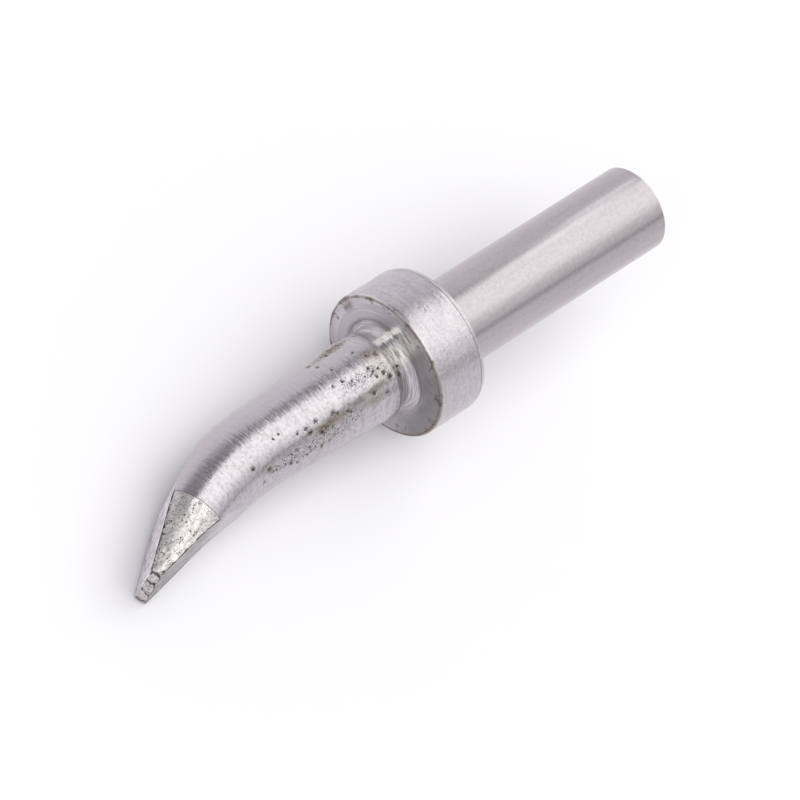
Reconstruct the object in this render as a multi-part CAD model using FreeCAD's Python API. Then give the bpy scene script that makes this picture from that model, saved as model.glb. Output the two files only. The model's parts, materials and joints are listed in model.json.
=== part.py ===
import FreeCAD, Part
import math
import os

from FreeCAD import Vector

# Bent chisel tip for a soldering iron: one turned and bent piece of plated copper.
# Millimetres and degrees. The tip is built on its own axis, with X towards the working
# end, the back face of the collar at x = 0 and the bend in the XZ plane. It is then laid
# on a level surface at z = 0, with the middle of its box over the origin.

# Shank and its bore
shank_diameter = 8.0
shank_length = 25.75
shank_end_chamfer = 0.2
bore_diameter = 6.0
bore_depth = 28.0
bore_mouth_chamfer = 0.25
drill_point_angle = 118.0

# Collar
collar_diameter = 13.7
collar_thickness = 5.35
collar_front_rounding = 0.3
collar_back_chamfer_height = 0.15
collar_back_chamfer_length = 0.45

# Neck between the collar and the body
neck_diameter = 7.0
neck_fillet = 0.95
neck_floor_length = 0.65
shoulder_rounding = 0.45

# Body: a straight taper, then a bend, then a short straight nose
body_back_diameter = 8.05
body_bend_diameter = 7.2
body_length = 13.1
bend_radius = 27.4
bend_angle = 25.3
nose_length = 6.15
nose_middle_diameter = 6.6
nose_end_diameter = 5.1

# Flats that make the chisel, measured before bending
edge_thickness = 1.1
edge_offset = 0.25
outer_flat_angle = 10.3
inner_flat_angle = 14.7

# How finely the curved stretches and the resting pose are worked out
bend_sections = 13
flat_curve_points = 11
contact_tolerance = 0.01
on_its_side = 90
roll_step = 1

shank_radius = shank_diameter / 2
bore_radius = bore_diameter / 2
collar_radius = collar_diameter / 2
neck_radius = neck_diameter / 2
body_back_radius = body_back_diameter / 2
body_bend_radius = body_bend_diameter / 2
nose_middle_radius = nose_middle_diameter / 2
nose_end_radius = nose_end_diameter / 2

rim_x = collar_thickness - collar_front_rounding
rim_radius = collar_radius - collar_front_rounding
neck_floor_start = collar_thickness + neck_fillet
body_start = neck_floor_start + neck_floor_length
bend_start = body_start + body_length
bend_arc = bend_radius * math.radians(bend_angle)
bend_end = bend_start + bend_arc
tip_end = bend_end + nose_length


class Outline:
    """Half section of a turned piece, drawn in X and radius from one end to the other."""

    def __init__(self, x, radius):
        self.here = Vector(x, 0, radius)
        self.edges = []

    def line(self, x, radius):
        there = Vector(x, 0, radius)
        self.edges.append(Part.LineSegment(self.here, there).toShape())
        self.here = there

    def quarter(self, x, radius, centre_x, centre_radius):
        """Quarter circle from here to a point, about the given centre."""
        centre = Vector(centre_x, 0, centre_radius)
        there = Vector(x, 0, radius)
        chord_middle = (self.here + there) / 2 - centre
        middle = centre + chord_middle.normalize() * (there - centre).Length
        self.edges.append(Part.Arc(self.here, middle, there).toShape())
        self.here = there

    def turned(self):
        face = Part.Face(Part.Wire(self.edges))
        return face.revolve(Vector(0, 0, 0), Vector(1, 0, 0), 360)


def straight_blank():
    """Shank, collar, neck and straight body, before the bore is drilled."""
    shank_end = -shank_length
    neck_fillet_radius = neck_radius + neck_fillet
    shoulder = min(shoulder_rounding, body_back_radius - neck_radius)
    shoulder_foot = body_back_radius - shoulder

    outline = Outline(shank_end, 0)
    outline.line(shank_end, shank_radius - shank_end_chamfer)
    outline.line(shank_end + shank_end_chamfer, shank_radius)
    outline.line(0, shank_radius)
    outline.line(0, collar_radius - collar_back_chamfer_height)
    outline.line(collar_back_chamfer_length, collar_radius)
    outline.line(rim_x, collar_radius)
    outline.quarter(collar_thickness, rim_radius, rim_x, rim_radius)
    outline.line(collar_thickness, neck_fillet_radius)
    outline.quarter(neck_floor_start, neck_radius, neck_floor_start, neck_fillet_radius)
    outline.line(body_start, neck_radius)
    if shoulder_foot > neck_radius:
        outline.line(body_start, shoulder_foot)
    outline.quarter(body_start + shoulder, body_back_radius, body_start + shoulder, shoulder_foot)
    outline.line(bend_start, body_bend_radius)
    outline.line(bend_start, 0)
    outline.line(shank_end, 0)
    return outline.turned()


def centre_line(along):
    """Point of the centre line and its slope, at a distance measured along it."""
    slope = min(max(along - bend_start, 0), bend_arc) / bend_radius
    straight = min(along, bend_start)
    beyond = max(along - bend_end, 0)
    x = straight + bend_radius * math.sin(slope) + beyond * math.cos(slope)
    z = bend_radius * (math.cos(slope) - 1) - beyond * math.sin(slope)
    return Vector(x, 0, z), slope


def off_centre_line(along, offset):
    """Point in the plane of the bend, on its outer side where the offset is positive."""
    centre, slope = centre_line(along)
    return centre + Vector(math.sin(slope), 0, math.cos(slope)) * offset


def nose_radius(along):
    """Radius of the round nose, a crowned taper from the bend's start to the end."""
    share = (along - bend_start) / (tip_end - bend_start)
    crown = nose_middle_radius - (body_bend_radius + nose_end_radius) / 2
    taper = body_bend_radius + (nose_end_radius - body_bend_radius) * share
    return taper + 4 * crown * share * (1 - share)


def bent_nose():
    """Round nose, lofted through circles that follow the bent centre line."""
    circles = []
    for section in range(bend_sections):
        along = bend_start + (tip_end - bend_start) * section / (bend_sections - 1)
        centre, slope = centre_line(along)
        ahead = Vector(math.cos(slope), 0, -math.sin(slope))
        circles.append(Part.Wire(Part.makeCircle(nose_radius(along), centre, ahead)))
    return Part.makeLoft(circles, True, False)


def ground_off(side, flat_angle):
    """What is taken off to leave one flat, on the outer side for 1 and the inner for -1."""
    first = bend_start - shank_radius
    last = tip_end + shank_radius
    curve_points = []
    for step in range(flat_curve_points):
        along = first + (last - first) * step / (flat_curve_points - 1)
        half_thickness = edge_thickness / 2 + math.tan(math.radians(flat_angle)) * (tip_end - along)
        curve_points.append(off_centre_line(along, edge_offset + side * half_thickness))
    curve = Part.BSplineCurve()
    curve.interpolate(curve_points)
    away = Vector(0, 0, side * collar_diameter)
    corners = [curve_points[-1], curve_points[-1] + away, curve_points[0] + away, curve_points[0]]
    edges = [Part.LineSegment(a, b).toShape() for a, b in zip(corners, corners[1:])]
    face = Part.Face(Part.Wire([curve.toShape()] + edges))
    face.translate(Vector(0, -collar_radius, 0))
    return face.extrude(Vector(0, collar_diameter, 0))


def drilled_bore():
    """Blind bore from the shank's end, with a chamfered mouth and a drill point."""
    shank_end = -shank_length
    bottom = shank_end + bore_depth
    mouth_radius = bore_radius + bore_mouth_chamfer
    point_length = bore_radius / math.tan(math.radians(drill_point_angle / 2))
    outline = Outline(shank_end, 0)
    outline.line(shank_end, mouth_radius)
    outline.line(shank_end + bore_mouth_chamfer, bore_radius)
    outline.line(bottom, bore_radius)
    outline.line(bottom + point_length, 0)
    outline.line(shank_end, 0)
    return outline.turned()


def touching_dip(nose, below):
    """Smallest dip at which the nose comes level with the collar's front rim."""
    dips = []
    for point in nose:
        ahead = point.x - rim_x
        short = rim_radius - point.dot(below)
        reach = math.hypot(ahead, short)
        dips.append(math.atan2(short, ahead) + math.asin(collar_front_rounding / reach))
    return min(dips)


def lying(tip, nose, roll):
    """Height of the tip's weight and its dip, when it lies at a roll from nose down."""
    turned = math.radians(roll)
    below = Vector(0, -math.sin(turned), -math.cos(turned))
    dip = touching_dip(nose, below)
    down = below * math.cos(dip) + Vector(math.sin(dip), 0, 0)
    rim_depth = rim_x * math.sin(dip) + rim_radius * math.cos(dip) + collar_front_rounding
    return rim_depth - tip.CenterOfMass.dot(down), math.degrees(dip)


def resting_pose(tip):
    """Roll and dip, in degrees, at which the tip comes to rest after it is laid on its side."""
    nose = [point for point in tip.tessellate(contact_tolerance)[0] if point.x > bend_start]
    roll = on_its_side
    for way in (roll_step, -roll_step):
        while lying(tip, nose, roll + way) < lying(tip, nose, roll):
            roll += way
    return roll, lying(tip, nose, roll)[1]


def lie_down(tip):
    """The tip rolled and dipped as it rests, on z = 0 and centred over the origin."""
    roll, dip = resting_pose(tip)
    resting = tip.copy()
    resting.rotate(Vector(0, 0, 0), Vector(1, 0, 0), roll)
    resting.rotate(Vector(0, 0, 0), Vector(0, 1, 0), dip)
    box = resting.optimalBoundingBox(False, False)
    resting.translate(Vector(-box.Center.x, -box.Center.y, -box.ZMin))
    return resting


tip = straight_blank().fuse(bent_nose())
tip = tip.cut(ground_off(1, outer_flat_angle)).cut(ground_off(-1, inner_flat_angle))
tip = tip.cut(drilled_bore()).removeSplitter()
iron_tip = lie_down(tip.Solids[0])

os.makedirs("parts", exist_ok=True)
iron_tip.exportStep("parts/soldering_tip.step")
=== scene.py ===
import json
import math

import bpy
import numpy as np
from bpy.props import FloatProperty, FloatVectorProperty, IntProperty, PointerProperty
from mathutils import Matrix, Vector, noise


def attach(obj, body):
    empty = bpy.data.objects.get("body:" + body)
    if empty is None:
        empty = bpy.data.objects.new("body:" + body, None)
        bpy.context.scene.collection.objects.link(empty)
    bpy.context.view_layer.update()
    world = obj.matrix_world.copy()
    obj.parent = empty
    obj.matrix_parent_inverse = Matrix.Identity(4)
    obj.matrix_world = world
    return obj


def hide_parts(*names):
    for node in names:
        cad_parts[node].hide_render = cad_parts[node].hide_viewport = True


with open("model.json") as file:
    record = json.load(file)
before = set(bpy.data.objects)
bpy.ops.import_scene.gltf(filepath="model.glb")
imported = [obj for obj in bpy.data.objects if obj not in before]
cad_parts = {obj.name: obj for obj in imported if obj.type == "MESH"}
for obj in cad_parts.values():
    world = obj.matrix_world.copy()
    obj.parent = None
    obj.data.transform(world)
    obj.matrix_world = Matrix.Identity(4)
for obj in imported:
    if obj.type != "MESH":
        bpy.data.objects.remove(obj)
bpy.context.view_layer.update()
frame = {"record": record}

bl_info = {
    "name": "Bent Chisel Soldering Tip",
    "version": (1, 0, 0),
    "blender": (4, 5, 0),
    "location": "3D View > Sidebar > Soldering Tip",
    "description": "Used, plated and tinned chisel tip for a soldering iron",
    "category": "Add Mesh",
}

MM = 0.001


def length(name, description, millimetres):
    """Property for a size, shown in the scene's units."""
    return FloatProperty(name=name, description=description, default=millimetres * MM,
                         unit="LENGTH", precision=5)


def angle(name, description, degrees):
    return FloatProperty(name=name, description=description, default=math.radians(degrees),
                         subtype="ANGLE")


def share(name, description, default, highest=1.0):
    return FloatProperty(name=name, description=description, default=default, min=0.0,
                         max=highest, subtype="FACTOR")


def colour(name, description, default):
    return FloatVectorProperty(name=name, description=description, default=default, size=3,
                               min=0.0, max=1.0, subtype="COLOR")


class TipShape(bpy.types.PropertyGroup):
    """Sizes of the tip along and across its own axis."""

    shank_diameter: length("Shank diameter", "Round shank behind the collar", 8.0)
    shank_length: length("Shank length", "From the shank's end to the collar", 25.75)
    shank_end_chamfer: length("Shank end chamfer", "Chamfer round the shank's end", 0.2)
    bore_diameter: length("Bore diameter", "Blind bore in the shank", 6.0)
    bore_depth: length("Bore depth", "From the shank's end to the end of the wall", 28.0)
    bore_mouth_chamfer: length("Bore mouth chamfer", "Chamfer at the bore's mouth", 0.25)
    drill_point_angle: angle("Drill point angle", "Cone at the bottom of the bore", 118.0)
    collar_diameter: length("Collar diameter", "Outside of the collar", 13.7)
    collar_thickness: length("Collar thickness", "Along the axis", 5.35)
    collar_front_rounding: length("Collar front rounding", "Round of the front rim", 0.3)
    collar_back_chamfer_height: length("Back chamfer height", "Across the axis", 0.15)
    collar_back_chamfer_length: length("Back chamfer length", "Along the axis", 0.45)
    neck_diameter: length("Neck diameter", "Groove in front of the collar", 7.0)
    neck_fillet: length("Neck fillet", "Between the collar's face and the neck", 0.95)
    neck_floor_length: length("Neck floor length", "Straight stretch of the neck", 0.65)
    shoulder_rounding: length("Shoulder rounding", "Where the body starts", 0.45)
    body_back_diameter: length("Body back diameter", "Body beside the neck", 8.05)
    body_bend_diameter: length("Body bend diameter", "Body where the bend starts", 7.2)
    body_length: length("Body length", "Straight stretch before the bend", 13.1)
    bend_radius: length("Bend radius", "Of the centre line", 27.4)
    bend_angle: angle("Bend angle", "Between the shank and the nose", 25.3)
    nose_length: length("Nose length", "Straight stretch after the bend", 6.15)
    nose_middle_diameter: length("Nose middle diameter", "Half way along the crown", 6.6)
    nose_end_diameter: length("Nose end diameter", "At the working edge", 5.1)
    edge_thickness: length("Edge thickness", "Blunt working edge", 1.1)
    edge_offset: length("Edge offset", "Edge's middle from the centre line", 0.25)
    outer_flat_angle: angle("Outer flat angle", "Flat on the outer side of the bend", 10.3)
    inner_flat_angle: angle("Inner flat angle", "Flat on the inner side of the bend", 14.7)
    worn_edge: length("Worn edge", "Softening of the edges beside the flats", 0.1)
    around: IntProperty(name="Columns", description="Mesh columns round the tip",
                        default=232, min=32, max=320)


class TipWear(bpy.types.PropertyGroup):
    """Finish, stains, pits and tin of a used tip."""

    plating: colour("Plating", "Satin plated metal", (0.49, 0.459, 0.488))
    tin: colour("Tin", "Rough tin on the round sides of the nose", (0.74, 0.71, 0.712))
    stain: colour("Stain", "Burnt flux on the body", (0.125, 0.084, 0.064))
    soot: colour("Soot", "Pits and crevices", (0.022, 0.018, 0.016))
    tin_length: length("Tin length", "From the working edge to the tin's border", 7.9)
    plating_roughness: share("Plating roughness", "Satin of the turned faces", 0.24)
    tin_roughness: share("Tin roughness", "Dull tin", 0.32)
    seed: IntProperty(name="Seed", description="Start of the random draws", default=7)


class Studio(bpy.types.PropertyGroup):
    """Camera, floor and lights."""

    aim: FloatVectorProperty(name="Aim", description="Point in the picture's middle", size=3,
                             default=(-0.00222, 0.00294, 0.00404), subtype="TRANSLATION")
    distance: length("Distance", "Camera to the aim", 530.0)
    heading: angle("Heading", "Camera's place round the tip, from the nose", 5.34)
    elevation: angle("Elevation", "Camera's height above the floor", 47.8)
    roll: angle("Roll", "Camera turned about its own axis", 50.96)
    lens: FloatProperty(name="Lens", description="Focal length", default=277.8, unit="CAMERA")
    floor_size: length("Floor size", "Side of the floor", 3000.0)
    floor: colour("Floor colour", "Pale matt floor", (0.87, 0.86, 0.89))
    sky: colour("Surroundings", "Pale walls and ceiling", (0.98, 0.98, 0.985))
    near_card: angle("Card's height", "Dark card on the near side", 133.0)
    near_card_width: angle("Card's half width", "Seen from the tip", 4.5)
    near_card_flare: angle("Card's flare", "How much wider it gets towards the nose", 90.0)
    near_card_shade: colour("Card's shade", "Dark card", (0.40, 0.39, 0.41))
    far_card: angle("Far card's height", "Grey card on the other side", 31.0)
    far_card_width: angle("Far card's half width", "Seen from the tip", 8.0)
    far_card_shade: colour("Far card's shade", "Grey card", (0.56, 0.55, 0.56))
    glow: share("Ceiling glow", "Light added to the ceiling above the tip", 0.76, 10.0)
    glow_tint: colour("Glow tint", "Tint of the added light", (1.0, 1.0, 0.94))
    shank_fill: share("Shank fill", "Radiance of the small softbox by the shank", 0.85, 10.0)
    shank: FloatVectorProperty(name="Shank", description="Middle of the shank", size=3,
                               default=(-0.0185, 0.0, 0.0095), subtype="TRANSLATION")


class Path:
    """Half section of the turned part: straight runs joined by small arcs."""

    def __init__(self, x, radius):
        self.corners = [(x, radius, 0.0)]
        self.pitches = []

    def to(self, x, radius, pitch, fillet=0.04):
        self.corners.append((x, radius, fillet))
        self.pitches.append(pitch)

    def points(self, arc_pitch=0.06):
        """The section's points in millimetres, from its start to its end."""
        places = [np.array(corner[:2], float) for corner in self.corners]
        made = [places[0]]
        for number in range(1, len(places)):
            here, fillet = places[number], self.corners[number][2]
            pitch = self.pitches[number - 1]
            if number == len(places) - 1:
                made += self.run(made[-1], here, pitch)
                break
            back = places[number - 1] - here
            ahead = places[number + 1] - here
            back /= np.linalg.norm(back)
            ahead /= np.linalg.norm(ahead)
            half = 0.5 * math.acos(max(-1.0, min(1.0, float(back @ ahead))))
            cut = fillet / math.tan(half)
            bisector = (back + ahead) / np.linalg.norm(back + ahead)
            centre = here + bisector * fillet / math.sin(half)
            made += self.run(made[-1], here + back * cut, pitch)
            first, last = here + back * cut - centre, here + ahead * cut - centre
            turn = math.pi - 2 * half
            steps = max(3, math.ceil(fillet * turn / arc_pitch))
            for step in range(1, steps + 1):
                part = step / steps
                spoke = (first * math.sin((1 - part) * turn)
                         + last * math.sin(part * turn)) / math.sin(turn)
                made.append(centre + spoke)
        return np.array(made)

    @staticmethod
    def run(start, end, pitch):
        steps = max(1, round(float(np.linalg.norm(end - start)) / pitch))
        return [start + (end - start) * step / steps for step in range(1, steps + 1)]


class Tip:
    """The tip's form in millimetres, on its own axis, with the collar's back face at x = 0."""

    def __init__(self, shape):
        for name in TipShape.__annotations__:
            value = getattr(shape, name)
            is_length = name != "around" and not name.endswith("_angle")
            setattr(self, name, value / MM if is_length else value)
        self.body_start = self.collar_thickness + self.neck_fillet + self.neck_floor_length
        self.bend_start = self.body_start + self.body_length
        self.bend_end = self.bend_start + self.bend_radius * self.bend_angle
        self.end = self.bend_end + self.nose_length

    def turned_section(self):
        """Section from the bottom of the bore, round the shank's end, to the bend's start."""
        shank_end = -self.shank_length
        shank, bore = self.shank_diameter / 2, self.bore_diameter / 2
        collar, neck = self.collar_diameter / 2, self.neck_diameter / 2
        bottom = shank_end + self.bore_depth
        point = bore / math.tan(self.drill_point_angle / 2)
        path = Path(bottom + point, 0.0)
        path.to(bottom, bore, 0.8)
        path.to(shank_end + self.bore_mouth_chamfer, bore, 2.5)
        path.to(shank_end, bore + self.bore_mouth_chamfer, 0.15)
        path.to(shank_end, shank - self.shank_end_chamfer, 0.2)
        path.to(shank_end + self.shank_end_chamfer, shank, 0.1)
        path.to(0.0, shank, 0.9)
        path.to(0.0, collar - self.collar_back_chamfer_height, 0.4)
        path.to(self.collar_back_chamfer_length, collar, 0.15)
        path.to(self.collar_thickness, collar, 0.35, self.collar_front_rounding)
        path.to(self.collar_thickness, neck, 0.16, self.neck_fillet)
        path.to(self.body_start, neck, 0.12, 0.08)
        path.to(self.body_start, self.body_back_diameter / 2, 0.1, self.shoulder_rounding)
        path.to(self.bend_start, self.body_bend_diameter / 2, 0.13)
        return path.points()

    def centre_line(self, along):
        """X and Z of the centre line and its slope, at distances measured along it."""
        slope = np.clip(along - self.bend_start, 0, self.bend_end - self.bend_start)
        slope = slope / self.bend_radius
        beyond = np.clip(along - self.bend_end, 0, None)
        x = np.minimum(along, self.bend_start) + self.bend_radius * np.sin(slope)
        z = self.bend_radius * (np.cos(slope) - 1)
        return x + beyond * np.cos(slope), z - beyond * np.sin(slope), slope

    def nose_radius(self, along):
        """Radius of the round nose, a crowned taper."""
        first, last = self.body_bend_diameter / 2, self.nose_end_diameter / 2
        part = (along - self.bend_start) / (self.end - self.bend_start)
        crown = self.nose_middle_diameter / 2 - (first + last) / 2
        return first + (last - first) * part + 4 * crown * part * (1 - part)

    def flats(self, along):
        """Offsets of the outer and the inner flat from the centre line."""
        left = self.end - along
        half = self.edge_thickness / 2
        outer = self.edge_offset + half + math.tan(self.outer_flat_angle) * left
        inner = self.edge_offset - half - math.tan(self.inner_flat_angle) * left
        return outer, inner


def soft_lower(a, b, width):
    """The lower of two values, with a rounded change from one to the other."""
    blend = np.clip(width - np.abs(a - b), 0, None) / width
    return np.minimum(a, b) - blend * blend * width / 4


def tip_surface(tip):
    """Rows of points round the tip before it was bent, and what each point is measured by."""
    pitch, rounding, far_from_flats = 0.13, 0.06, -3.0
    section = tip.turned_section()
    steps = round((tip.end - tip.bend_start) / pitch)
    nose = np.linspace(tip.bend_start, tip.end, steps + 1)[1:]
    nose = nose[nose < tip.end - rounding * 1.5]
    turns = np.radians([0, 25, 50, 75, 90])
    nose = np.concatenate([nose, tip.end - rounding * (1 - np.sin(turns))])
    along = np.concatenate([section[:, 0], nose])
    inset = np.zeros(len(along))
    inset[-len(turns):] = rounding * (1 - np.cos(turns))
    radius = np.concatenate([section[:, 1], tip.nose_radius(nose)]) - inset
    travelled = np.concatenate([[0], np.cumsum(np.hypot(np.diff(along), np.diff(radius)))])
    theta = 2 * math.pi * np.arange(tip.around) / tip.around
    y = radius[:, None] * np.cos(theta)
    z = radius[:, None] * np.sin(theta)
    outer, inner = tip.flats(along)
    outer, inner = (outer - inset)[:, None], (inner + inset)[:, None]
    over = np.maximum(z - outer, inner - z)
    over[along < tip.bend_start] = far_from_flats
    z = soft_lower(z, outer, tip.worn_edge)
    z = -soft_lower(-z, -inner, tip.worn_edge)
    in_bore = np.arange(len(along)) < np.argmin(along)
    return {"along": along[:, None], "y": y, "z": z, "over": over,
            "turn": np.degrees(np.arctan2(z, y)), "travelled": travelled[:, None],
            "in_bore": in_bore[:, None]}


# Pits eaten into the plating: place along the centre line in millimetres, turn in degrees
# from the side that looks up towards the outer side of the bend, and size in millimetres
PITS = (
    (16.2, -45, 0.26), (15.7, -43, 0.15), (17.4, -37, 0.19), (16.5, -27, 0.16),
    (17.7, -29, 0.14), (18.6, -28, 0.12), (20.3, -15, 0.09), (21.0, -17, 0.10),
    (19.2, -48, 0.16), (17.8, -56, 0.10), (18.2, -64, 0.13), (16.5, -65, 0.14),
    (20.0, -62, 0.17), (19.3, -67, 0.12), (22.7, -49, 0.20), (24.4, -32, 0.18),
    (23.6, -62, 0.13), (15.0, -46, 0.14), (14.6, -30, 0.19), (14.2, -34, 0.14),
    (15.1, -58, 0.12), (13.1, -38, 0.15), (12.8, -42, 0.14), (12.2, -2, 0.14),
    (13.2, -1, 0.11), (10.0, -37, 0.16), (8.7, -45, 0.15), (7.9, -28, 0.19),
    (8.3, -21, 0.15), (9.1, -20, 0.11), (9.4, -6, 0.12), (6.7, -36, 0.24),
    (8.7, 9, 0.13), (11.0, 46, 0.13), (13.0, 48, 0.13), (12.7, 36, 0.12),
    (12.1, 19, 0.12), (9.4, 23, 0.10), (34.7, 25, 0.13), (33.3, 23, 0.12),
    (36.2, 22, 0.09), (13.5, 150, 0.16), (18.0, 200, 0.14), (33.5, 186, 0.12),
)

# Burnt flux: place and turn as above, half length in millimetres, half width in degrees
# and strength
STAINS = (
    (16.0, -42, 1.3, 7, 0.9), (14.6, -38, 1.2, 5, 0.8), (13.0, -40, 0.9, 5, 0.7),
    (10.2, -43, 1.3, 10, 0.75), (22.7, -49, 0.7, 6, 0.9), (24.3, -35, 0.8, 5, 0.5),
    (9.8, 53, 1.4, 9, 1.0), (8.4, 68, 1.0, 9, 0.9), (12.0, 48, 1.5, 8, 0.7),
    (8.4, -7, 1.4, 13, 0.4), (9.2, -31, 1.2, 8, 0.35),
    (7.9, 5, 0.4, 6, 1.0), (8.8, 9, 0.6, 7, 0.7), (16.5, -62, 4.0, 10, 0.4),
    (8.6, -18, 1.0, 10, 0.35), (15.0, 150, 4.0, 22, 0.6), (10.0, 215, 2.0, 30, 0.7),
)

# Where the plating is peppered with small pits, in the same way as the stains
PEPPER = (
    (16.5, -56, 4.0, 13, 1.1), (10.0, -12, 3.0, 12, 0.95), (10.0, 52, 2.4, 14, 1.2),
    (21.5, -54, 3.0, 13, 0.8), (14.5, -8, 3.5, 12, 0.4), (16.5, -32, 1.6, 8, 0.6),
    (16.0, 160, 5.0, 40, 1.0), (12.0, -50, 2.5, 12, 0.6), (6.8, -30, 0.9, 12, 1.1),
)

# Beads of solder left on the blunt edge, in millimetres: place along the edge, height on it,
# half width and half height
EDGE_BEADS = ((1.35, 0.30, 0.78, 0.66), (-0.30, 0.18, 0.92, 0.58), (-1.85, 0.32, 0.7, 0.7))

# Rows of faces across the blunt edge
EDGE_LAYERS = 12


def turned_from(turn, place):
    """Degrees from one place round the tip to another, between -180 and 180."""
    return (turn - place + 180) % 360 - 180


def painted(spots, along, turn):
    """Sum of soft spots on the surface, at places along and round the tip."""
    total = np.zeros(np.broadcast(along, turn).shape)
    for place, spot_turn, half_length, half_width, strength in spots:
        off = turned_from(turn, spot_turn)
        total += strength * np.exp(-((along - place) / half_length) ** 2
                                   - (off / half_width) ** 2)
    return total


def pit_dents(along, turn, radius):
    """Depth of the larger pits, in millimetres."""
    depth_share = 0.45
    depth = np.zeros(np.broadcast(along, turn).shape)
    for place, pit_turn, size in PITS:
        across = np.radians(turned_from(turn, pit_turn)) * radius
        distance = np.hypot(along - place, across)
        depth = np.maximum(depth, depth_share * size * np.exp(-(distance / size) ** 2))
    return depth


def lumps(points, scale, seed):
    """Fractal noise between 0 and 1 at a list of points."""
    shift = Vector((seed * 3.7, seed * 1.3, seed * 5.1))
    values = [noise.fractal(Vector(point) * scale + shift, 0.8, 2.1, 4) for point in points]
    return np.clip(np.array(values) * 0.5 + 0.5, 0, 1)


def tin_border(tip, wear):
    """Place along the tip where the tin starts."""
    return tip.end - wear.tin_length / MM


def relief(tip, wear, surface, blank):
    """How far the points are sunk by pits and tin, and how uneven the tin is."""
    tin_depth, border_depth, border_width = 0.1, 0.03, 0.07
    fade_by_flats, fade_by_border, fade_by_edge = 0.15, 0.12, 0.2
    along, over = surface["along"], surface["over"]
    pits = pit_dents(along, surface["turn"], np.hypot(surface["y"], surface["z"]))
    past_border = along - tin_border(tip, wear)
    tinned = (past_border > 0) & (over < 0.02)
    uneven = np.zeros(over.shape)
    uneven[tinned] = lumps(blank[tinned], 1.5, wear.seed)
    uneven *= np.clip(-over / fade_by_flats, 0, 1) * np.clip(past_border / fade_by_border, 0, 1)
    groove = np.exp(-(past_border / border_width) ** 2) * (over < 0)
    depth = pits * ~surface["in_bore"] + tin_depth * uneven + border_depth * groove
    return depth * np.clip((tip.end - 0.05 - along) / fade_by_edge, 0, 1), uneven


def edge_cap(tip, wear, points, blank):
    """Points across the blunt edge, sunk between the beads, and their unbent places."""
    sunk_between_beads, unevenness = 0.13, 0.04
    columns = points.shape[1]
    one_side = np.arange(1, columns // 2)
    part = np.arange(1, EDGE_LAYERS)[None, :, None] / EDGE_LAYERS
    cap, places = (line[one_side][:, None] * (1 - part) + line[columns - one_side][:, None] * part
                   for line in (points[-1], blank[-1]))
    bead = np.zeros(places.shape[:2])
    for across, height, half_width, half_height in EDGE_BEADS:
        swell = (1 - ((places[..., 1] - across) / half_width) ** 2
                 - ((places[..., 2] - height) / half_height) ** 2)
        bead = np.maximum(bead, np.sqrt(np.clip(swell, 0, 1)))
    uneven = lumps(places.reshape(-1, 3), 3.0, wear.seed).reshape(bead.shape)
    sunk = sunk_between_beads * (1 - bead) + unevenness * uneven
    ahead = np.array([math.cos(tip.bend_angle), 0, -math.sin(tip.bend_angle)])
    return cap - ahead * sunk[..., None], places


def tip_faces(rows, columns):
    """Faces of the closed mesh: the bore's point, rows of quads, and the blunt edge."""
    half, last = columns // 2, rows - 1
    first_cap = 1 + last * columns

    def ring(row, column):
        return 1 + (row - 1) * columns + column % columns

    def capped(column, layer):
        if layer == 0:
            return ring(last, column)
        if layer == EDGE_LAYERS:
            return ring(last, columns - column)
        return first_cap + (column - 1) * (EDGE_LAYERS - 1) + layer - 1

    faces = [(0, ring(1, c + 1), ring(1, c)) for c in range(columns)]
    for row in range(1, last):
        faces += [(ring(row, c), ring(row, c + 1), ring(row + 1, c + 1), ring(row + 1, c))
                  for c in range(columns)]
    for k in range(EDGE_LAYERS):
        faces.append((ring(last, 0), capped(1, k), capped(1, k + 1)))
        faces.append((capped(half - 1, k + 1), capped(half - 1, k), ring(last, half)))
        faces += [(capped(c, k), capped(c + 1, k), capped(c + 1, k + 1), capped(c, k + 1))
                  for c in range(1, half - 1)]
    return faces


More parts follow.
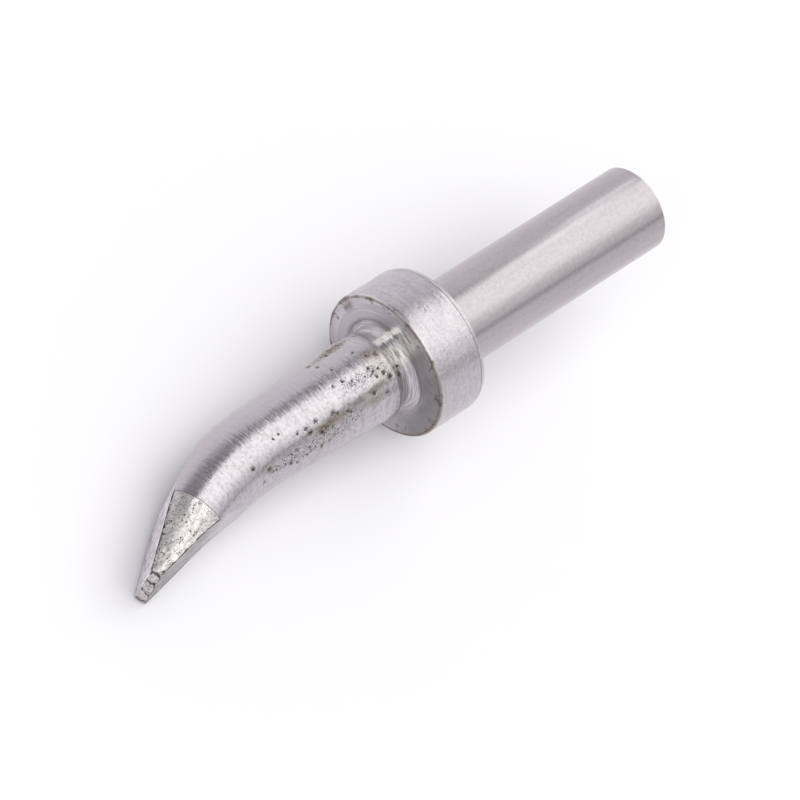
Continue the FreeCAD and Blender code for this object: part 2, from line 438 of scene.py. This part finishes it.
def tip_mesh(tip, wear):
    """One closed mesh of the whole tip, in the model's frame, with its measured attributes."""
    surface = tip_surface(tip)
    along, y, z = surface["along"], surface["y"], surface["z"]
    x_line, z_line, slope = tip.centre_line(along)
    points = np.stack([x_line + z * np.sin(slope), y, z_line + z * np.cos(slope)], -1)
    blank = np.stack([np.broadcast_to(along, y.shape), y, z], -1)

    round_side = np.roll(points, -1, 1) - np.roll(points, 1, 1)
    normals = np.cross(round_side, np.gradient(points, axis=0))
    normals /= np.maximum(np.linalg.norm(normals, axis=2, keepdims=True), 1e-9)
    depth, uneven_tin = relief(tip, wear, surface, blank)
    points -= normals * depth[..., None]
    cap, cap_blank = edge_cap(tip, wear, points, blank)

    def by_vertex(ring_values, cap_values):
        """Values in the order of the mesh's vertices."""
        return np.concatenate([ring_values[0, :1].ravel(), ring_values[1:].ravel(),
                               cap_values.ravel()])

    mesh = bpy.data.meshes.new("tip_metal")
    place = tip_axes()
    vertices = by_vertex(points, cap).reshape(-1, 3) * MM
    vertices = vertices @ np.array(place.to_3x3()).T + np.array(place.translation)
    mesh.from_pydata(vertices.tolist(), [], tip_faces(*y.shape))
    mesh.shade_smooth()

    in_front = ~surface["in_bore"] & (along > tip.collar_thickness + 0.3)
    stain, pepper = (painted(spots, along, surface["turn"]) for spots in (STAINS, PEPPER))
    travelled = surface["travelled"]
    measures = {
        "travelled": (travelled, travelled[-1] + 1.0),
        "over": (surface["over"], 0.6),
        "edge_face": (0.0, 1.0),
        "stain": (stain * in_front, 0.3),
        "pepper": (np.minimum(pepper, 0.85) * in_front, 0.7),
        "rough_tin": (uneven_tin, 0.0),
        "in_bore": (surface["in_bore"] * 1.0, 0.0),
    }
    for name, (on_rings, on_edge) in measures.items():
        values = by_vertex(np.broadcast_to(on_rings, y.shape),
                           np.broadcast_to(on_edge, cap.shape[:2]))
        layer = mesh.attributes.new(name, "FLOAT", "POINT")
        layer.data.foreach_set("value", values.astype(np.float32))
    layer = mesh.attributes.new("blank", "FLOAT_VECTOR", "POINT")
    layer.data.foreach_set("vector", by_vertex(blank, cap_blank).astype(np.float32))
    return mesh


def tip_axes():
    """Placing of the tip's own axes in the model: X to the nose, Y to the side that looks up."""
    mounts = {mount["name"]: mount for mount in frame["record"]["mounts"]}
    ahead = -Vector(mounts["shank"]["axis"]).normalized()
    on_axis = Vector(mounts["shank"]["pos_m"])
    on_face = Vector(mounts["collar_back_face"]["pos_m"])
    origin = on_axis + ahead * (on_face - on_axis).dot(ahead)
    up = (on_face - origin).normalized()
    side = ahead.cross(up)
    placing = Matrix((ahead, up, side)).transposed().to_4x4()
    placing.translation = origin
    return placing


def shaded(colour, factor):
    """A colour made darker or brighter, up to white."""
    return tuple(min(1.0, factor * part) for part in colour)


class Graph:
    """Short way to write a material's nodes."""

    def __init__(self, tree):
        self.tree = tree
        tree.nodes.clear()

    def add(self, kind, inputs=(), **settings):
        node = self.tree.nodes.new(kind)
        for name, value in settings.items():
            setattr(node, name, value)
        for name, value in dict(inputs).items():
            self.feed(node.inputs[name], value)
        return node

    def feed(self, socket, value):
        if isinstance(value, bpy.types.NodeSocket):
            self.tree.links.new(value, socket)
        elif socket.type == "RGBA" and len(value) == 3:
            socket.default_value = (*value, 1.0)
        else:
            socket.default_value = value

    def measured(self, name, output="Fac"):
        return self.add("ShaderNodeAttribute", attribute_name=name).outputs[output]

    def vector(self, x, y, z=0.0):
        return self.add("ShaderNodeCombineXYZ", {"X": x, "Y": y, "Z": z}).outputs[0]

    def parts(self, vector):
        return self.add("ShaderNodeSeparateXYZ", {0: vector}).outputs

    def stretched(self, a, b):
        return self.add("ShaderNodeVectorMath", {0: a, 1: b}, operation="MULTIPLY").outputs[0]

    def distance(self, a, b):
        return self.add("ShaderNodeVectorMath", {0: a, 1: b}, operation="DISTANCE").outputs[1]

    def math(self, operation, *values):
        return self.add("ShaderNodeMath", dict(enumerate(values)), operation=operation).outputs[0]

    def plus(self, total, *others):
        for other in others:
            total = self.math("ADD", total, other)
        return total

    def times(self, product, *others):
        for other in others:
            product = self.math("MULTIPLY", product, other)
        return product

    def scaled(self, value, factor, offset):
        """The value times a factor, plus an offset."""
        return self.plus(self.times(value, factor), offset)

    def lower(self, a, b):
        return self.math("MINIMUM", a, b)

    def larger(self, a, b):
        return self.math("MAXIMUM", a, b)

    def inverse(self, a):
        return self.math("SUBTRACT", 1.0, a)

    def rise(self, value, low, high):
        """0 below low, 1 above high, and smooth between them. It falls where low is higher."""
        falls = low > high
        inputs = {"Value": value, "From Min": min(low, high), "From Max": max(low, high),
                  "To Min": float(falls), "To Max": float(not falls)}
        node = self.add("ShaderNodeMapRange", inputs, interpolation_type="SMOOTHSTEP")
        return node.outputs["Result"]

    def between(self, value, low, full_from, full_to, high):
        """1 on the full stretch, falling to 0 at low and at high."""
        return self.times(self.rise(value, low, full_from), self.rise(value, high, full_to))

    def band(self, value, middle, half_width):
        """1 about the middle, falling to 0 at the half width on both sides."""
        off = self.math("ABSOLUTE", self.math("SUBTRACT", value, middle))
        return self.rise(off, half_width, 0.35 * half_width)

    def mix(self, factor, a, b, blend_type="MIX"):
        inputs = {0: factor, 6: a, 7: b}
        node = self.add("ShaderNodeMix", inputs, data_type="RGBA", blend_type=blend_type)
        return node.outputs[2]

    def blend(self, factor, a, b):
        return self.add("ShaderNodeMix", {0: factor, 2: a, 3: b}, data_type="FLOAT").outputs[0]

    def noise(self, vector, scale, detail=2.0, roughness=0.5):
        inputs = {"Vector": vector, "Scale": scale, "Detail": detail, "Roughness": roughness}
        return self.add("ShaderNodeTexNoise", inputs).outputs["Fac"]

    def sway(self, amount, *noise_inputs):
        """Noise about 0, where the amount is the whole of its swing."""
        return self.times(self.plus(self.noise(*noise_inputs), -0.5), amount)


class Skin:
    """Colour, roughness, metal share and height of a surface, built up layer by layer."""

    def __init__(self, graph, colour, roughness):
        self.graph = graph
        self.colour = colour
        self.roughness = roughness
        self.metal = 1.0
        self.height = 0.0

    def cover(self, mask, colour, roughness, metal=1.0):
        self.colour = self.graph.mix(mask, self.colour, colour)
        self.roughness = self.graph.blend(mask, self.roughness, roughness)
        self.metal = self.graph.blend(mask, self.metal, metal)

    def raise_by(self, height, *shares):
        """Add a height in millimetres, times all the shares."""
        self.height = self.graph.plus(self.height, self.graph.times(height, *shares))


def tip_coordinates(graph, tip):
    """Places on the tip in millimetres, as it was before it was bent."""
    blank = graph.measured("blank", "Vector")
    along, y, z = graph.parts(blank)
    radial = graph.distance(graph.vector(0.0, y, z), (0.0, 0.0, 0.0))
    travelled = graph.measured("travelled")
    ring, stroke = (graph.vector(travelled, graph.times(y, part), graph.times(z, part))
                    for part in (0.05, 0.14))
    front = graph.rise(along, tip.collar_thickness - 0.25, tip.collar_thickness - 0.15)
    return {"blank": blank, "along": along, "y": y, "z": z, "radial": radial,
            "turn": graph.times(graph.math("ARCTAN2", z, y), math.degrees(1)),
            "ring": ring, "stroke": stroke,
            "streak": graph.stretched(blank, (0.12, 1.0, 1.0)),
            "over": graph.measured("over"),
            "front": front, "face": graph.times(front, graph.rise(radial, 4.4, 4.8))}


def turned_plating(graph, at, wear, tip):
    """Satin plating: turning rings in front, grain on the collar, streaks on the shank, and a
    painted highlight on its end chamfer.
    """
    along, plating = at["along"], wear.plating
    shank = graph.rise(along, 0.0, -0.03)
    body = graph.rise(along, tip.body_start, tip.body_start + 1.0)
    rim = graph.rise(at["radial"], 6.4, 6.6)
    strokes = graph.noise(at["stroke"], 3.4, 2.0)
    fine = graph.noise(at["ring"], 6.5, 3.0, 0.6)
    streak = graph.noise(at["streak"], 3.0, 4.0, 0.6)
    cloud = graph.noise(at["blank"], 0.8, 3.0)
    grain = graph.noise(at["blank"], 3.2, 4.0, 0.7)
    speck = graph.noise(at["blank"], 9.0, 2.0, 0.6)

    lines = graph.times(graph.blend(shank, strokes, streak), 0.3)
    shade = graph.scaled(grain, 0.7, lines)
    tone = graph.mix(graph.rise(shade, 0.34, 0.62), shaded(plating, 0.86), shaded(plating, 1.1))
    flecks = graph.scaled(graph.rise(along, 18.0, 11.0), 0.35, 0.25)
    flecks = graph.times(graph.rise(shade, 0.5, 0.4), body, flecks)
    tone = graph.mix(flecks, tone, shaded(plating, 0.66))
    calm = graph.times(graph.between(at["turn"], 12.0, 26.0, 140.0, 175.0), body, 0.75)
    calm = graph.larger(calm, graph.times(shank, 0.5))
    tone = graph.mix(calm, tone, plating)
    warm = graph.mix(1.0, tone, (0.89, 0.875, 0.86), "MULTIPLY")

    roughness = graph.scaled(body, -0.06, wear.plating_roughness - 0.11)
    roughness = graph.plus(roughness, graph.times(rim, 0.05), graph.times(cloud, 0.05),
                           graph.times(grain, 0.11), graph.times(fine, 0.05, body))
    skin = Skin(graph, graph.mix(shank, tone, warm), roughness)

    neck = graph.between(along, tip.collar_thickness - 0.2, tip.collar_thickness,
                         tip.body_start + 0.1, tip.body_start + 0.5)
    grooved = graph.mix(graph.rise(fine, 0.38, 0.62), shaded(plating, 0.65), shaded(plating, 1.3))
    skin.cover(graph.times(neck, graph.rise(at["radial"], 5.0, 4.3), 0.9), grooved, 0.3, 0.85)
    # Painted highlight: the shank end's chamfer gets a brighter copy of the plating, for the pale
    # rim of light on it.
    chamfer = graph.rise(along, 0.25 - tip.shank_length, 0.15 - tip.shank_length)
    skin.cover(graph.times(chamfer, 0.9), shaded(plating, 1.7), 0.3)

    flat = graph.rise(at["over"], -0.05, 0.05)
    turned = graph.inverse(graph.larger(shank, flat))
    depth = graph.blend(rim, 0.022, graph.blend(graph.rise(cloud, 0.48, 0.6), 0.006, 0.016))
    skin.raise_by(fine, depth, 0.8, turned)
    skin.raise_by(strokes, depth, 0.9, turned)
    skin.raise_by(streak, 0.003, shank)
    rugged = graph.scaled(grain, 0.011, graph.times(speck, 0.006))
    near_collar = graph.times(graph.rise(along, 18.0, 10.0), body)
    skin.raise_by(rugged, graph.scaled(near_collar, 0.6, 1.0), graph.inverse(calm))
    return skin


def tinned_nose(graph, skin, at, wear, tip):
    """Dull tin on the round sides of the nose, with its border and the lines by the flats."""
    along, over, blank = at["along"], at["over"], at["blank"]
    wobble = graph.sway(0.16, blank, 1.6, 3.0)
    border = tin_border(tip, wear)
    past = graph.plus(along, wobble)
    on_round = graph.rise(graph.scaled(wobble, 0.3, over), 0.01, -0.02)
    tinned = graph.times(graph.rise(past, border, border + 0.04), on_round)
    lumpy = graph.noise(blank, 3.6, 5.0, 0.7)
    tin = graph.mix(graph.rise(lumpy, 0.35, 0.65), shaded(wear.tin, 0.72), wear.tin)
    drawn = graph.rise(graph.noise(at["streak"], 3.0, 3.0, 0.6), 0.5, 0.36)
    tin = graph.mix(graph.times(drawn, 0.5), tin, shaded(wear.tin, 0.55))
    skin.cover(tinned, tin, graph.scaled(lumpy, 0.2, wear.tin_roughness - 0.1))
    skin.raise_by(lumpy, 0.045, tinned)

    deep = graph.times(graph.measured("rough_tin"), 0.16)
    holes = ((3.0, 0.79, wear.stain), (5.0, 0.765, wear.soot), (9.0, 0.73, wear.soot))
    for scale, start, colour in holes:
        hole = graph.plus(graph.noise(blank, scale, 3.0, 0.6), deep)
        hole = graph.times(graph.rise(hole, start - 0.05, start + 0.01), tinned)
        skin.cover(hole, colour, 0.6, 0.2)
        skin.raise_by(hole, -0.03)

    edge = graph.times(graph.band(past, border, 0.06), on_round, graph.rise(lumpy, 0.35, 0.6))
    skin.cover(graph.times(edge, 0.8), graph.mix(lumpy, wear.soot, wear.stain), 0.5, 0.5)
    crease = graph.band(graph.plus(over, graph.sway(0.5, blank, 1.1, 4.0, 0.65)), -0.03, 0.11)
    crease = graph.times(crease, graph.rise(along, border - 0.4, border + 0.2),
                         graph.rise(lumpy, 0.25, 0.5), 0.95)
    skin.cover(crease, wear.soot, 0.6, 0.3)
    corner = graph.scaled(graph.rise(over, -0.5, 0.0), 0.16, lumpy)
    corner = graph.times(graph.rise(corner, 0.66, 0.72), tinned, graph.rise(at["z"], 0.0, 0.4))
    skin.cover(corner, wear.soot, 0.6, 0.2)


def ground_flats(graph, skin, at, wear, tip):
    """Patina and long scratches on the two ground flats, and a painted reflection on the outer
    flat.
    """
    along, z, blank, plating = at["along"], at["z"], at["blank"], wear.plating
    flat = graph.rise(at["over"], -0.01, 0.04)
    outer = graph.times(graph.rise(z, 0.0, 0.3), flat)
    outer = graph.times(outer, graph.rise(along, tip.end - 10.5, tip.end - 7.5))
    # Painted reflection: towards the nose the outer flat gets a copy of the plating twice as
    # bright and partly diffuse, for the pale reflection along it.
    skin.cover(outer, shaded(plating, 2.0), 0.3, 0.7)
    inner_side = graph.rise(z, 0.0, -0.3)
    inner = graph.times(inner_side, flat, graph.rise(along, tip.end - 10.0, tip.end - 5.0))
    skin.cover(graph.times(inner, 0.9), shaded(plating, 0.86), 0.3)
    patina = graph.noise(graph.stretched(blank, (0.6, 1.0, 1.0)), 1.8, 5.0, 0.75)
    patina = graph.times(graph.rise(patina, 0.54, 0.42), graph.larger(outer, inner), 0.6)
    skin.cover(patina, shaded(plating, 0.4), 0.38, 0.9)

    bow = graph.times(graph.noise(blank, 0.2, 1.0), 0.7)
    lengthwise = graph.vector(graph.times(along, 0.09), graph.plus(at["y"], bow))
    scratch = graph.noise(lengthwise, 1.5, 4.0, 0.75)
    long_lines = graph.band(graph.noise(lengthwise, 0.6, 3.0, 0.6), 0.5, 0.06)
    lines = graph.larger(graph.times(graph.rise(scratch, 0.5, 0.4), 0.5), long_lines)
    broken = graph.rise(graph.noise(blank, 1.3, 4.0, 0.7), 0.34, 0.58)
    stronger = graph.times(inner_side, graph.rise(along, tip.end - 9.0, tip.end - 6.0))
    lines = graph.times(lines, flat, graph.scaled(broken, 0.7, 0.3),
                        graph.scaled(stronger, 0.62, 0.18))
    skin.cover(lines, shaded(plating, 0.32), 0.4)
    skin.raise_by(scratch, 0.005, flat)


def blunt_edge(graph, skin, at, wear):
    """Beads of solder on the blunt edge, with dark creases between them."""
    edge = graph.measured("edge_face")
    uneven = graph.noise(at["blank"], 3.0, 5.0, 0.7)
    solder = graph.mix(graph.rise(uneven, 0.34, 0.58), shaded(wear.tin, 0.55), wear.tin)
    skin.cover(edge, solder, 0.38)
    shift = graph.sway(1.1, at["blank"], 1.9, 3.0)
    y, z = graph.plus(at["y"], shift), graph.plus(at["z"], shift)
    outside = 9.0
    for across, height, half_width, half_height in EDGE_BEADS:
        y_off = graph.times(graph.plus(y, -across), 1 / half_width)
        z_off = graph.times(graph.plus(z, -height), 1 / half_height)
        square = graph.plus(graph.times(y_off, y_off), graph.times(z_off, z_off))
        outside = graph.lower(outside, graph.math("SQRT", square))
    crevice = graph.larger(graph.band(outside, 1.0, 0.22), graph.rise(outside, 1.25, 1.5))
    crevice = graph.times(crevice, graph.rise(uneven, 0.3, 0.5), edge)
    skin.cover(crevice, wear.soot, 0.7, 0.2)
    skin.raise_by(uneven, 0.06, edge)


def collar_face(graph, skin, at, wear, tip):
    """Turned circles on the collar's face in a brighter painted copy of the plating, painted
    shade low down, and a painted highlight beside the neck.
    """
    radial, z, face = at["radial"], at["z"], at["face"]
    uneven = graph.noise(at["blank"], 0.9, 5.0, 0.7)
    circles = graph.noise(graph.vector(radial, graph.times(z, 0.04)), 5.0, 3.0, 0.6)
    # Painted light: the face's plating is a brighter copy, up to 1.68 times, for a brighter
    # reflection; the circles in it are its turned rings.
    ringed = graph.mix(graph.rise(circles, 0.44, 0.66), shaded(wear.plating, 1.28),
                       shaded(wear.plating, 1.68))
    skin.cover(graph.times(face, 0.9), ringed, 0.34)
    skin.raise_by(circles, 0.025, face)
    # Painted shade: the face darkens towards the bottom, and darker still at its lowest part.
    height = graph.scaled(uneven, 2.0, z)
    painted_low_shade = graph.times(face, graph.rise(height, 2.0, -2.0), graph.scaled(uneven, 0.5, 0.45))
    skin.cover(painted_low_shade, (0.66, 0.645, 0.65), 0.36)
    dark = graph.mix(uneven, (0.19, 0.185, 0.19), (0.34, 0.33, 0.34))
    skin.cover(graph.times(face, graph.rise(height, -1.5, -4.5), 0.9), dark, 0.34)

    groove = graph.noise(at["stroke"], 6.0, 3.0, 0.6)
    ragged = graph.scaled(graph.plus(groove, -0.5), 1.2, z)
    neck = graph.times(at["front"],
                       graph.rise(at["along"], tip.body_start + 0.5, tip.body_start + 0.1))
    # Painted highlight: a lit patch and a cream-white ring in the neck, beside the collar's face,
    # where the light catches it.
    lit = graph.between(ragged, -1.8, -0.9, 0.2, 0.6)
    lit = graph.times(lit, graph.rise(radial, 6.4, 5.4), neck, 0.8)
    sheen_colour = graph.mix(graph.rise(groove, 0.4, 0.52), (0.2, 0.195, 0.185), (0.73, 0.72, 0.70))
    skin.cover(lit, sheen_colour, 0.32, 0.35)
    cream = graph.scaled(graph.plus(radial, -3.7), 0.28, ragged)
    cream = graph.between(cream, 0.75, 0.95, 1.35, 1.65)
    cream = graph.times(cream, graph.rise(radial, 5.9, 5.2), neck, 0.95)
    sheen_colour = graph.mix(graph.rise(groove, 0.34, 0.46), (0.5, 0.48, 0.44), (1.0, 0.985, 0.965))
    skin.cover(cream, sheen_colour, 0.4, 0.35)


def collar_stains(graph, skin, at, wear, tip):
    """Burnt flux on the collar's face and rim, a dark line at the back chamfer, painted olive
    reflection in the neck and painted shade in the neck's corner.
    """
    along, radial, face = at["along"], at["radial"], at["face"]
    uneven = graph.noise(at["blank"], 0.9, 5.0, 0.7)
    blotch = graph.times(graph.band(at["turn"], 74.0, 12.0), graph.rise(radial, 5.3, 6.2), face,
                         graph.rise(uneven, 0.36, 0.56), 0.85)
    skin.cover(blotch, shaded(wear.stain, 1.3), 0.45, 0.6)
    rim_radius = tip.collar_diameter / 2 - tip.collar_front_rounding
    rim = graph.times(graph.band(radial, rim_radius + 0.08, 0.17), face,
                      graph.rise(uneven, 0.2, 0.6), 0.95)
    skin.cover(rim, graph.mix(uneven, wear.stain, (0.21, 0.18, 0.135)), 0.4, 0.6)
    fringe = graph.scaled(graph.rise(radial, 5.0, 6.6), 0.12, uneven)
    skin.cover(graph.times(graph.rise(fringe, 0.66, 0.74), face, 0.8), wear.stain, 0.5, 0.5)
    # Painted reflection: faint olive patches in the neck, for warm reflected colour.
    olive = graph.times(graph.rise(uneven, 0.52, 0.62), graph.rise(radial, 5.2, 4.2),
                        graph.band(along, tip.collar_thickness + 0.8, 2.2), 0.35)
    skin.cover(olive, (0.33, 0.32, 0.24), 0.35, 0.8)
    chamfer = graph.times(graph.band(along, tip.collar_back_chamfer_length, 0.05),
                          graph.rise(radial, 6.5, 6.6), 0.7)
    skin.cover(chamfer, wear.soot, 0.5, 0.6)
    # Painted shade: the corner where the neck meets the shoulder is darkened with the stain
    # colour.
    hollow = graph.times(graph.band(along, tip.body_start, 0.12), graph.rise(radial, 4.0, 3.7),
                         uneven, 0.5)
    skin.cover(hollow, wear.stain, 0.5, 0.5)


def stains_and_pits(graph, skin, at, wear, tip):
    """Burnt flux on the body, a painted brown line along the edge of its highlight with painted
    shadow beside it, and small pits and the larger ones.
    """
    along, blank = at["along"], at["blank"]
    uneven = graph.noise(blank, 4.6, 5.0, 0.75)
    stain = graph.measured("stain")
    veil = graph.times(graph.rise(stain, 0.05, 0.9), graph.scaled(uneven, 0.8, 0.2))
    skin.cover(veil, (0.325, 0.272, 0.222), 0.34, 0.9)
    speckled = graph.rise(graph.scaled(stain, 0.32, uneven), 0.74, 0.88)
    skin.cover(graph.times(speckled, 0.8), wear.stain, 0.5, 0.6)

    # Painted reflection edge: a thin brown-grey line where the body's highlight meets its
    # lilac-grey band, with a wider soft band beside it as painted shadow.
    line = graph.plus(at["turn"], graph.times(along, 0.64), graph.sway(6.0, blank, 0.7, 3.0))
    wide = graph.scaled(graph.rise(along, 17.0, 15.0), 0.55, 0.3)
    line = graph.larger(graph.times(graph.band(line, -25.7, 2.2), 0.8),
                        graph.times(graph.band(line, -26.0, 6.5), wide))
    line = graph.times(line, graph.between(along, 7.2, 8.6, 22.0, 25.0),
                       graph.rise(graph.noise(blank, 1.8, 4.0, 0.7), 0.3, 0.6), 0.85)
    skin.cover(line, (0.155, 0.128, 0.112), 0.36, 0.9)

    pepper = graph.times(graph.measured("pepper"), 0.355)
    small_pits = ((2.4, 0.94, wear.stain, 0.03), (4.5, 0.935, wear.soot, 0.02),
                  (8.0, 0.93, wear.soot, 0.012))
    for scale, start, colour, depth in small_pits:
        speck = graph.plus(graph.noise(blank, scale, 3.0, 0.6), pepper)
        skin.cover(graph.rise(speck, start - 0.05, start + 0.01), colour, 0.6, 0.3)
        skin.raise_by(graph.rise(speck, start - 0.1, start), -depth)

    nearest = 9.0
    for place, turn, size in PITS:
        radius, spoke = surface_radius(tip, place), math.radians(turn)
        spot = (place, radius * math.cos(spoke), radius * math.sin(spoke))
        nearest = graph.lower(nearest, graph.times(graph.distance(blank, spot), 1 / size))
    chipped = graph.plus(nearest, graph.sway(5.5, blank, 7.0, 3.0, 0.65))
    skin.cover(graph.times(graph.rise(chipped, 1.7, 0.7), 0.3), wear.stain, 0.4, 0.8)
    burnt = graph.mix(graph.rise(uneven, 0.45, 0.7), wear.soot, wear.stain)
    skin.cover(graph.rise(chipped, 0.8, 0.35), burnt, 0.7, 0.2)
    skin.raise_by(graph.rise(chipped, 1.7, 0.3), -0.05)


def surface_radius(tip, along):
    """Distance of the surface from the centre line at a place in front of the collar."""
    if along < tip.body_start:
        return tip.neck_diameter / 2
    if along < tip.bend_start:
        part = (along - tip.body_start) / tip.body_length
        first, last = tip.body_back_diameter / 2, tip.body_bend_diameter / 2
        return first + (last - first) * part
    return float(tip.nose_radius(np.array(along)))


def tip_material(wear, tip):
    """Plated copper with its rings, tin, scratches, stains and pits."""
    material = bpy.data.materials.new("plated_copper")
    material.use_nodes = True
    graph = Graph(material.node_tree)
    at = tip_coordinates(graph, tip)
    skin = turned_plating(graph, at, wear, tip)
    tinned_nose(graph, skin, at, wear, tip)
    ground_flats(graph, skin, at, wear, tip)
    blunt_edge(graph, skin, at, wear)
    collar_face(graph, skin, at, wear, tip)
    collar_stains(graph, skin, at, wear, tip)
    stains_and_pits(graph, skin, at, wear, tip)
    skin.cover(graph.times(graph.measured("in_bore"), 0.8), (0.3, 0.25, 0.22), 0.5, 0.8)
    bump = graph.add("ShaderNodeBump", {"Strength": 1.0, "Distance": MM, "Height": skin.height})
    inputs = {"Base Color": skin.colour, "Metallic": skin.metal,
              "Roughness": skin.roughness, "Normal": bump.outputs[0]}
    shader = graph.add("ShaderNodeBsdfPrincipled", inputs)
    graph.add("ShaderNodeOutputMaterial", {"Surface": shader.outputs[0]})
    return material


class OBJECT_OT_tip_metal(bpy.types.Operator):
    """Make the tip's metal: shank, collar, neck, bent body and tinned chisel nose"""

    bl_idname = "object.tip_metal"
    bl_label = "Tip Metal"

    def execute(self, context):
        scene = context.scene
        tip = Tip(scene.tip_shape)
        piece = bpy.data.objects.new("tip_metal", tip_mesh(tip, scene.tip_wear))
        scene.collection.objects.link(piece)
        piece.data.materials.append(tip_material(scene.tip_wear, tip))
        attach(piece, "root")
        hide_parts("soldering_tip")
        return {"FINISHED"}


def softbox(name, towards, distance, width, height, radiance):
    """Rectangular light that faces the origin, as bright as its radiance says."""
    light = bpy.data.lights.new(name, "AREA")
    light.shape = "RECTANGLE"
    light.size, light.size_y = width, height
    light.energy = radiance * math.pi * width * height
    lamp = bpy.data.objects.new(name, light)
    direction = Vector(towards).normalized()
    lamp.location = direction * distance
    lamp.rotation_euler = direction.to_track_quat("Z", "Y").to_euler()
    lamp.visible_camera = False
    bpy.context.scene.collection.objects.link(lamp)
    return lamp


def studio_world(studio):
    """Pale surroundings with dark cards hung along both sides, which shape the reflections."""
    world = bpy.data.worlds.new("studio")
    world.use_nodes = True
    graph = Graph(world.node_tree)
    towards = graph.add("ShaderNodeTexCoord").outputs["Generated"]
    along, across, up = graph.parts(towards)
    height = graph.math("ARCTAN2", up, across)

    # The near card gets wider towards the nose, and narrower behind it.
    ahead = graph.lower(graph.scaled(along, 1.6, 0.72), graph.scaled(along, 0.4, 0.246))
    ahead = graph.lower(graph.larger(ahead, -0.06), 0.18)
    flare = graph.times(ahead, studio.near_card_flare)
    soft = math.radians(2)
    low = studio.near_card - studio.near_card_width
    high = studio.near_card + studio.near_card_width
    from_low = graph.plus(height, flare)
    from_high = graph.math("SUBTRACT", height, flare)
    near = graph.times(graph.rise(from_low, low - soft, low + soft),
                       graph.rise(from_high, high + 3 * soft, high - 2 * soft))
    before_nose = graph.rise(along, -0.39, -0.29)
    card = graph.mix(before_nose, studio.near_card_shade, shaded(studio.near_card_shade, 0.95))
    fringe = graph.times(graph.rise(from_high, high + math.radians(20), high), before_nose,
                         graph.rise(from_low, low, high), 0.75)

    ceiling = graph.times(graph.band(height, math.radians(100), math.radians(55)),
                          graph.rise(from_low, low + soft, low - soft))
    lit = tuple(part + studio.glow * tint for part, tint in zip(studio.sky, studio.glow_tint))
    shade = graph.mix(fringe, graph.mix(ceiling, studio.sky, lit), card)
    shade = graph.mix(near, shade, card)
    far = graph.band(height, studio.far_card, studio.far_card_width)
    shade = graph.mix(far, shade, studio.far_card_shade)
    background = graph.add("ShaderNodeBackground", {"Color": shade})
    graph.add("ShaderNodeOutputWorld", {"Surface": background.outputs[0]})
    return world


class OBJECT_OT_tip_studio(bpy.types.Operator):
    """Set up the pale floor, the soft lights and the camera"""

    bl_idname = "object.tip_studio"
    bl_label = "Studio"

    def execute(self, context):
        scene = context.scene
        studio = scene.tip_studio
        half = studio.floor_size / 2
        mesh = bpy.data.meshes.new("floor")
        mesh.from_pydata([(-half, -half, 0), (half, -half, 0), (half, half, 0), (-half, half, 0)],
                         [], [(0, 1, 2, 3)])
        floor = bpy.data.objects.new("floor", mesh)
        scene.collection.objects.link(floor)
        material = bpy.data.materials.new("pale_floor")
        material.use_nodes = True
        shader = material.node_tree.nodes["Principled BSDF"]
        shader.inputs["Base Color"].default_value = (*studio.floor, 1.0)
        shader.inputs["Roughness"].default_value = 0.9
        shader.inputs["Specular IOR Level"].default_value = 0.0
        mesh.materials.append(material)

        scene.world = studio_world(studio)
        fill = softbox("shank_box", towards=(-0.51, -0.57, 0.645), distance=0.07,
                       width=0.011, height=0.03, radiance=studio.shank_fill)
        fill.location += Vector(studio.shank)
        fill.data.diffuse_factor = 0.0

        camera_data = bpy.data.cameras.new("camera")
        camera_data.lens = studio.lens
        camera_data.clip_start = 0.01
        camera = bpy.data.objects.new("camera", camera_data)
        scene.collection.objects.link(camera)
        level = math.cos(studio.elevation)
        back = Vector((level * math.cos(studio.heading), level * math.sin(studio.heading),
                       math.sin(studio.elevation)))
        camera.location = Vector(studio.aim) + back * studio.distance
        upright = back.to_track_quat("Z", "Y").to_matrix()
        camera.rotation_euler = (upright @ Matrix.Rotation(studio.roll, 3, "Z")).to_euler()
        scene.camera = camera
        scene.view_settings.view_transform = "Standard"
        return {"FINISHED"}


class VIEW3D_PT_soldering_tip(bpy.types.Panel):
    """Sizes, finish and studio of the soldering tip"""

    bl_label = "Soldering Tip"
    bl_space_type = "VIEW_3D"
    bl_region_type = "UI"
    bl_category = "Soldering Tip"

    def draw(self, context):
        scene = context.scene
        for group in (scene.tip_shape, scene.tip_wear, scene.tip_studio):
            box = self.layout.box()
            for name in type(group).__annotations__:
                box.prop(group, name)
        for operator in OPERATORS:
            self.layout.operator(operator.bl_idname)


OPERATORS = (OBJECT_OT_tip_metal, OBJECT_OT_tip_studio)
GROUPS = {"tip_shape": TipShape, "tip_wear": TipWear, "tip_studio": Studio}
CLASSES = (*GROUPS.values(), *OPERATORS, VIEW3D_PT_soldering_tip)


def register():
    for made in CLASSES:
        bpy.utils.register_class(made)
    for name, group in GROUPS.items():
        setattr(bpy.types.Scene, name, PointerProperty(type=group))


def unregister():
    for name in GROUPS:
        delattr(bpy.types.Scene, name)
    for made in reversed(CLASSES):
        bpy.utils.unregister_class(made)


def main():
    register()
    bpy.ops.object.tip_metal()
    bpy.ops.object.tip_studio()


if __name__ == "__main__":
    main()
